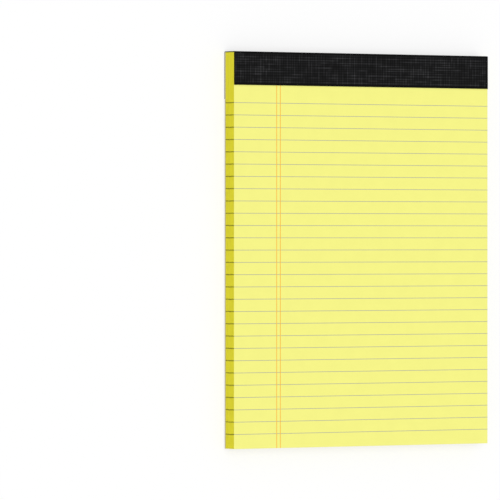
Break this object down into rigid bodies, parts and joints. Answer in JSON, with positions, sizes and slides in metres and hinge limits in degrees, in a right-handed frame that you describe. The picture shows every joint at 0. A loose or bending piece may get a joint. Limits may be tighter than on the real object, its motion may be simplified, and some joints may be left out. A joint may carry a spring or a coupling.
{
  "type": "legal pad",
  "caption": "Top-bound writing pad of yellow ruled sheets on a chipboard back, held by wire staples under a black tape folded over the top edge.",
  "frame": {"origin": "middle of the pad's footprint, on the surface that it lies on", "axes": "+X across the sheets to the right, +Y up the page towards the bound top edge, +Z out of the ruled face"},
  "size_m": [0.216, 0.28, 0.0133],
  "materials": {
    "yellow_paper": "uncoated yellow writing paper with faint ruling and a double margin line",
    "chipboard": "pale buff-grey chipboard, unprinted",
    "black_tape": "black binding tape embossed with a linen grain, low sheen",
    "staple_wire": "bright drawn steel wire"
  },
  "bodies": {
    "root": {"ruled_sheets": "yellow_paper", "backing_board": "chipboard", "binding_tape": "black_tape", "wire_staples": "staple_wire"}
  },
  "joints": []
}
